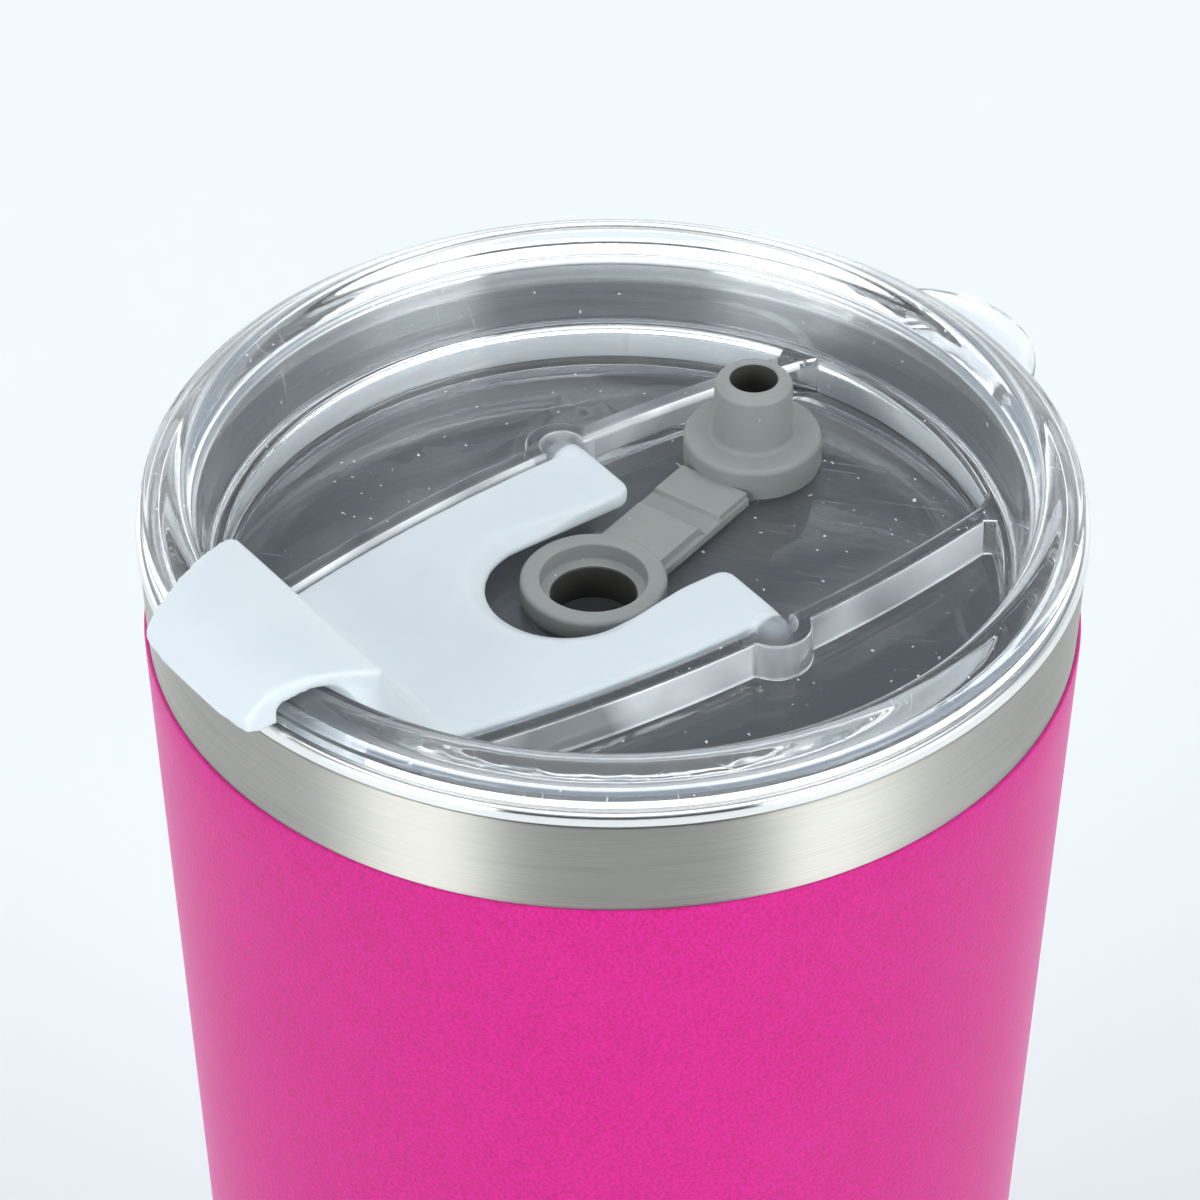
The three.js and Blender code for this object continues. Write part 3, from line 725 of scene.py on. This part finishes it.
def stadium(y, half_length, half_width, steps=14):
    reach = half_length - half_width
    right = arc(half_width, -math.pi / 2, math.pi / 2, half_width * math.pi / steps, (reach, y))
    left = arc(half_width, math.pi / 2, 3 * math.pi / 2, half_width * math.pi / steps, (-reach, y))
    return right + left


def pin_slot(side):
    """The open-topped notch through a rail that a closure's pin drops into."""
    half, reach = PIN_RADIUS + 0.3, PIN_REACH + 0.4
    end = arc(half, -math.pi / 2, math.pi / 2, 0.35, (reach - half, HINGE_Y))
    outline = end + [(RAIL_INNER - 0.8, HINGE_Y + half), (RAIL_INNER - 0.8, HINGE_Y - half)]
    if side < 0:
        outline = mirrored(outline)
    return carve(outline, HINGE_LEVEL - half, LEDGE, fillet=0.5, lip=0.2)


def rim_profile():
    """The lid's section: the skirt with its groove for the ring, the rim, and the wall down to the ledge."""
    crest = [(43.6, -0.1), (43.25, 0.28), (42.6, 0.62), (41.6, 1.28), (40.9, 1.65)]
    crest += [(40.3, 1.75), (39.75, 1.62), (39.3, 1.15), (38.9, 0.3), (38.6, -0.6)]
    under = [(0, -13.1), (36.6, -13.1, 0.3), (37.1, -14.3, 0.4), (38.9, -14.3, 0.4), (39.3, -13.8, 0.2)]
    under += [(39.3, -12.7, 0.15), (38.2, -12.7, 0.15), (38.2, -9.3, 0.15), (39.5, -9.3, 0.3)]
    under += [(40.2, -2.6, 0.5), (40.9, -1.9, 0.3), (43.2, -1.9, 0.35), (43.6, -1.45, 0.4), (43.6, -0.1)]
    inner = [(38.6, -0.6), (37.45, -7.2, 0.6), (36.9, LEDGE, 0.3), (30.0, LEDGE), (0, LEDGE)]
    return rounded(under, closed=False)[:-1] + spline(crest, 4)[:-1] + rounded(inner, closed=False)


def lift_tab():
    radius = 11.2
    outline = arc(radius, math.radians(18), math.radians(162), 0.5, (0, TAB_REACH - radius))
    edge = ((-0.35, -0.9), (-0.1, -0.8), (0, -0.6), (0, 0.0), (-0.1, 0.2), (-0.35, 0.3))
    return stacked("lift_tab", [at_height(grown(outline, inset), z + LID) for inset, z in edge], CLEAR)


def gets_painted_highlight(face):
    """Whether a face of the lid is on a rail's outer side, a socket or a rail's rounded inner edge, where the
    highlight is painted.
    """
    x, y, z = face.center / MM
    upright = abs(face.normal.z) < 0.9 and FLOOR - 0.05 < z - LID < LEDGE
    side = -0.06 < abs(x) - bowed(RAIL_OUTER, y) < 0.35
    socket = math.hypot(abs(x) - SOCKET_X, y - HINGE_Y) < SOCKET_RADIUS + 0.1
    level = LEDGE - 0.65 < z - LID and face.normal.z < 0.95
    edge = -0.05 < abs(x) - bowed(RAIL_INNER, y) < 0.75 and level
    return (upright and (side or socket) or edge) and math.hypot(x, y) < POCKET_RADIUS - 0.5


def lid():
    body = lathe("clear_lid", rim_profile(), CLEAR, LID, segments=256)
    combine(body, "UNION", lift_tab())
    cutters = [carve(pocket_outline(side), FLOOR, LEDGE, fillet=0.3, lip=0.3) for side in (1, -1)]
    cutters += [carve(channel_outline(), FLOOR, LEDGE, fillet=0.4, lip=0.7)]
    cutters += [pin_slot(1), pin_slot(-1)]
    cutters += [bore(ring_outline(STRAW_HOLE_RADIUS, STRAW_Y, 64, 0.5))]
    cutters += [bore(ring_outline(VENT_RADIUS, VENT_Y, 32, 0.25))]
    cutters += [bore(stadium(SIP_Y, SIP_HALF_LENGTH, SIP_HALF_WIDTH))]
    for cutter in cutters:
        cutter.data.transform(Matrix.Translation(UP * LID * MM))
    combine(body, "DIFFERENCE", *cutters)
    shade(body, 28)
    # the rails' sides, sockets and inner edges get the milky material, a painted highlight
    body.data.materials.append(RAIL_SIDE_PAINTED_HIGHLIGHT)
    for face in body.data.polygons:
        if gets_painted_highlight(face):
            face.material_index = 1
    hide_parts("lid_shell")
    fins = []
    for z in (-12.4, -10.9):
        fins += [(39.4, z, 0.15), (40.3, z + 0.55, 0.12), (40.3, z + 0.8, 0.12), (39.4, z + 1.3, 0.15)]
    ring = lathe("seal_ring", rounded([(38.4, -12.5, 0.2), *fins, (38.4, -9.5, 0.2)]), SEAL_RING, LID)
    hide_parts("lid_gasket")
    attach(body, "lid")
    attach(ring, "lid")


# ------------------------------------------------------------------ flip-top closure
def plate():
    """The flat plate with its slot; the wall round the slot's closed end leans outwards."""
    bow = [(bowed(PLATE_HALF, y), y) for y in np.arange(-29.0, PLATE_END - 0.9, 0.8)]
    end = bowed(PLATE_HALF, PLATE_END)
    arm_root = PLATE_END - 4
    arm = [bow[-1], (end, PLATE_END, 1.1), (SLOT_HALF, PLATE_END, 1.4), (SLOT_HALF, arm_root)]
    right = bow + rounded(arm, closed=False)[1:-1]
    right += [(SLOT_HALF, y) for y in np.arange(arm_root, SLOT_Y + 0.2, -0.8)]
    slot = arc(SLOT_HALF, 0, -math.pi, 0.6, (0, SLOT_Y))
    outline = np.array(right + slot + mirrored(right))
    in_slot = np.zeros(len(outline))
    for i, (x, y) in enumerate(outline):
        if abs(x) < SLOT_HALF + 0.01 and y < SLOT_Y + 9:
            in_slot[i] = max(0.0, min(1.0, (SLOT_Y + 8.5 - y) / 9.0)) ** 1.2
    centre = np.array((0, SLOT_Y + 0.5))
    away = outline - centre
    away /= np.linalg.norm(away, axis=1)[:, None]
    rings = []
    for height, inset, flare in (
        (-9.5, -0.35, 0), (-9.25, -0.08, 0), (-9.0, 0, 0), (-8.6, 0, 0.15), (-7.85, 0, 0.8),
        (-7.6, -0.1, 0.97), (-7.5, -0.3, 1.1),
    ):
        ring = grown(outline, inset) + away * (in_slot * flare * 1.75)[:, None]
        rings.append(at_height(ring, height))
    return stacked("frosted_closure", rings, FROSTED)


def rim_room():
    """The space that the lid's rim takes under the tab."""
    profile = [(36.7, -20), (36.85, LEDGE), (38.1, -0.8), (38.9, 1.4), (39.6, 2.0), (40.3, 2.12)]
    profile += [(41.2, 2.05), (42.4, 1.6), (43.9, 0.7), (44.0, -20)]
    return lathe("rim_room", profile, FROSTED)


def tab_hill():
    """The ramp from the plate up to the tab, wider at its foot, with rounded corners."""
    back = -37.6
    rings = []
    for height, front, half, corner in (
        (-9.3, -26.6, 13.7, 4.6), (-7.5, -26.9, 13.7, 4.6), (-7.0, -27.6, 13.3, 4.6),
        (-6.0, -28.8, 13.0, 4.4), (-4.6, -29.9, 12.8, 4.2), (-3.0, -30.9, 12.6, 4.0),
        (-1.2, -31.8, 12.3, 3.8), (0.3, -32.5, 12.0, 3.6), (1.4, -33.1, 11.6, 3.4),
        (2.2, -33.8, 11.0, 3.2), (2.7, -34.8, 10.2, 2.8),
    ):
        box = [(half, back), (half, front, corner), (-half, front, corner), (-half, back)]
        rings.append(at_height(rounded(box, closed=True, steps=10), height))
    return stacked("hill", rings, FROSTED)


def tab_cap():
    """The tab over the rim, which narrows outwards and hooks down outside it."""
    top = [(-33.6, 2.4), (-34.6, 2.95), (-36.2, 3.3), (-38.6, 3.45), (-41.0, 3.3), (-43.0, 2.75)]
    top += [(-44.8, 1.6), (-46.0, 0.2), (-46.8, -1.35)]
    side = spline(top, 3) + [(-45.6, -1.4), (-43.6, -1.4), (-38.0, 0.2), (-34.0, 0.0)]
    half_length = 16.0
    cap = stacked("cap", [[(x, y, z) for y, z in side] for x in spread(-1, 1, 9) * half_length], FROSTED)
    right = [(11.9, -32.0), (12.0, -34.6, 2.0), (8.6, -43.6, 3.0), (8.0, -48.5)]
    outline = rounded(right + [(-x, *rest) for x, *rest in reversed(right)])[::-1]
    mould = stacked("plan", [at_height(outline, -5), at_height(outline, 6)], FROSTED)
    reach = lathe("reach", [(0, -6), (TAB_REACH, -6), (TAB_REACH, 8), (0, 8)], FROSTED)
    return combine(cap, "INTERSECT", mould, reach)


def hinge_pin(side):
    """The domed nub that stands out sideways from an arm of the closure."""
    root = 14.9
    dome = [(PIN_RADIUS, 16.1), (1.68, 16.9), (1.3, 17.7), (0.75, 18.2), (0, PIN_REACH)]
    pin = lathe("pin", [(0, root), (PIN_RADIUS, root), *spline(dome, 4)], FROSTED, segments=32)
    place = Matrix.Translation(Vector((0, HINGE_Y, HINGE_LEVEL)) * MM)
    pin.data.transform(place @ Matrix.Rotation(side * math.pi / 2, 4, "Y"))
    return pin


def sip_seal():
    """The pad under the plate that closes the sip opening."""
    outline = stadium(SIP_Y, SIP_HALF_LENGTH + 1, SIP_HALF_WIDTH + 1)
    return stacked("seal", [at_height(outline, -11.0), at_height(outline, -9.2)], FROSTED)


def closure():
    body = plate()
    room = [(0, -12), (POCKET_RADIUS - 0.35, -12), (37.0, LEDGE + 0.2), (46, 8), (0, 8)]
    hill = combine(tab_hill(), "INTERSECT", lathe("pocket_room", room, FROSTED))
    combine(body, "UNION", hill, tab_cap())
    combine(body, "DIFFERENCE", rim_room())
    combine(body, "UNION", sip_seal(), hinge_pin(-1), hinge_pin(1))
    body.data.transform(Matrix.Translation(UP * LID * MM))
    softened(body, 0.3, 7)
    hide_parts("flip_closure")
    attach(body, "closure")


# ------------------------------------------------------------------ straw grommet and stopper
def strap_piece(name, first, last):
    """A stretch of the strap along +Y: a thin strip with the raised root or pad on it."""
    half = STRAP_WIDTH / 2
    rings = []
    for y in np.arange(first, last + 0.01, 0.2):
        root = max(0.0, min(1.0, (ROOT_END - y) / 0.25))
        pad = max(0.0, min(1.0, (y - PAD_START + 0.12) / 0.25))
        top = STRAP_TOP + (ROOT_TOP - STRAP_TOP) * root + (PAD_TOP - STRAP_TOP) * pad
        raised = half - 0.42 * root - 0.12 * pad - 0.12
        section = [(-half, STRAP_BOTTOM, 0.15), (half, STRAP_BOTTOM, 0.15), (half, STRAP_TOP, 0.12)]
        section += [(raised, STRAP_TOP + 0.01, 0.05), (raised, top + 0.02, 0.12)]
        section += [(-raised, top + 0.02, 0.12), (-raised, STRAP_TOP + 0.01, 0.05), (-half, STRAP_TOP, 0.12)]
        rings.append([(x, y, z) for x, z in rounded(section, steps=2)])
    return stacked(name, rings, GREY, 40)


def paint_bore_shade(piece, y, radius, top):
    """Gives the inside of a piece's bore, below that height, a darker silicone: painted shade deep in the bore.
    """
    piece.data.materials.append(GREY_PAINTED_SHADE)
    for face in piece.data.polygons:
        centre = face.center / MM
        if math.hypot(centre.x, centre.y - y) < radius and centre.z < top:
            face.material_index = 1


def stopper():
    place = Matrix.Translation(Vector((0, STRAW_Y, LID)) * MM) @ Matrix.Rotation(STRAP_TURN, 4, "Z")
    resting = FLOOR + 0.12  # the collar's underside, just clear of the lid's floor
    collar = [(3.95, -14.6, 0.2), (5.7, -14.6, 0.3), (6.4, -13.4, 0.25), (5.2, -13.4, 0.1)]
    collar += [(5.2, resting, 0.1), (6.9, resting, 0.2), (6.9, -9.0, 0.45)]
    collar += [(5.05, -9.0, 0.18), (5.0, -10.7, 0.2), (4.0, -10.95, 0.25)]
    grommet = lathe("straw_grommet_soft", rounded(collar), GREY, segments=128)
    straps = strap_piece("strap_fold", 5.6, SPLIT), strap_piece("strap_pad", SPLIT, 19.4)
    flange = [(0, STRAP_BOTTOM), (6.6, STRAP_BOTTOM, 0.25), (6.6, -7.6, 0.55), (3.87, -7.6, 0.55)]
    flange += [(3.7, -1.9, 0.5), (3.05, -1.2, 0.45), (2.3, -1.2, 0.25), (2.2, -7.2, 0.3), (0, -7.2)]
    plug = lathe("plug_soft", rounded(flange, closed=False), GREY, centre=(0, STRAP_LENGTH), segments=128)
    # painted shade inside the grommet's bore and the plug's bore
    paint_bore_shade(grommet, 0, 4.15, -10.8)
    paint_bore_shade(plug, STRAP_LENGTH, 2.4, -2.0)
    for piece in (grommet, *straps, plug):
        piece.data.transform(place)
    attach(grommet, "lid")
    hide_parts("straw_grommet")
    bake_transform(straps[0])
    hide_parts("stopper_strap")
    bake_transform(straps[1])
    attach(plug, "plug")
    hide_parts("straw_plug")


def floor():
    half, level = 3000, -0.05
    corners = [(x * half, y * half, level) for x, y in ((-1, -1), (1, -1), (1, 1), (-1, 1))]
    solid("floor", corners, [(0, 1, 2, 3)], pale_floor())


bpy.context.scene.view_settings.view_transform = "Standard"
cycles = bpy.context.scene.cycles  # the lid's clear walls lie behind each other, so light needs many bounces
cycles.max_bounces = 24
cycles.glossy_bounces = 12
cycles.transmission_bounces = 20
cycles.transparent_max_bounces = 16
lights()
floor()
tumbler_body()
lid()
closure()
stopper()
